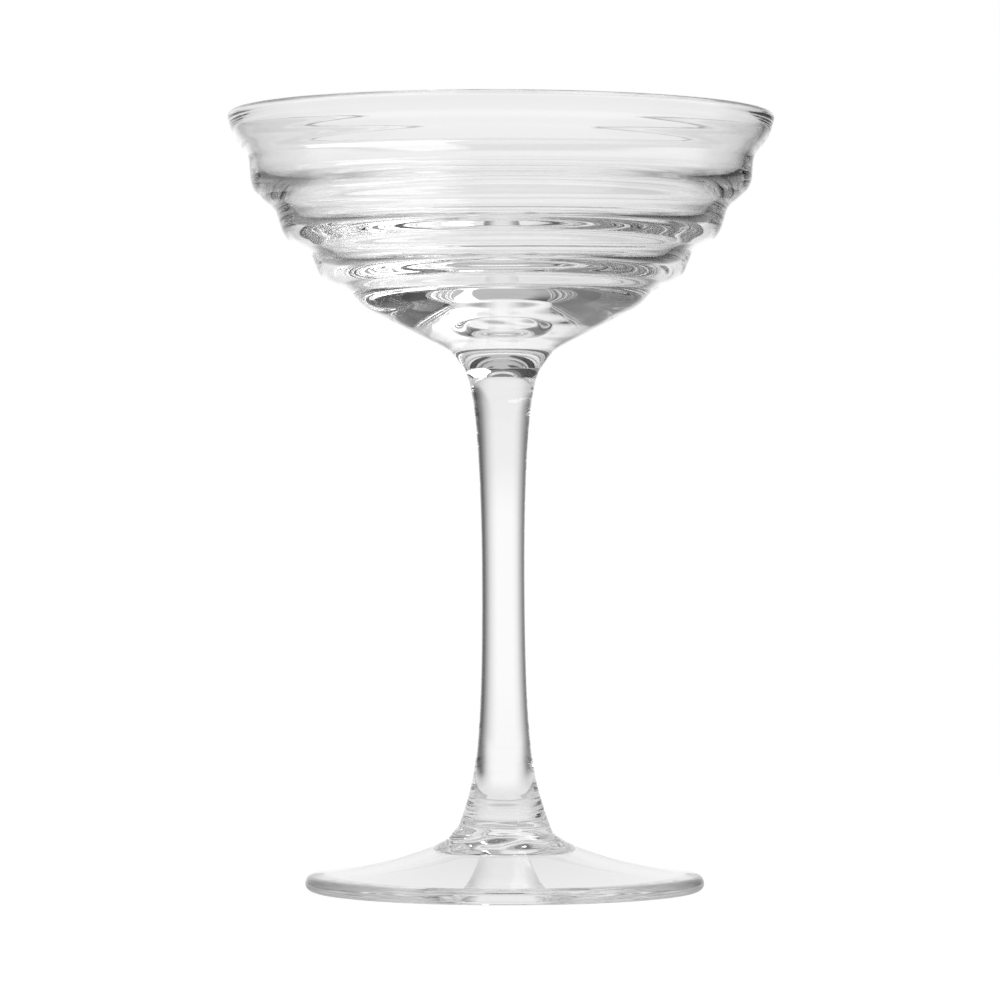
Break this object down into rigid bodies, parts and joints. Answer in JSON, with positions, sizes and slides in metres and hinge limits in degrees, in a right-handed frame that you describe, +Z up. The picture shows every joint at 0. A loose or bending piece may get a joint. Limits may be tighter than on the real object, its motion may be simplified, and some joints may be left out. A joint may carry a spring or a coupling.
{
  "type": "coupe glass",
  "caption": "Clear stemmed coupe glass with a wide shallow bowl stepped in rounded rings, a slender waisted stem and a round foot, for serving cocktails or sparkling wine.",
  "frame": {"origin": "centre of the plane that the foot rests on, on the glass's axis", "axes": "+Z up along the glass's axis of revolution, from the foot to the rim; +X and +Y lie in the resting plane"},
  "size_m": [0.1048, 0.1048, 0.1494],
  "materials": {
    "bowl_glass": "clear colourless soda-lime glass, fire-polished and glossy inside and out",
    "stem_glass": "clear colourless glass, drawn and fire-polished, solid through",
    "foot_glass": "clear colourless glass, pressed and fire-polished, with a rounded edge"
  },
  "bodies": {
    "root": {"bowl": "bowl_glass", "stem": "stem_glass", "foot": "foot_glass"}
  },
  "joints": []
}
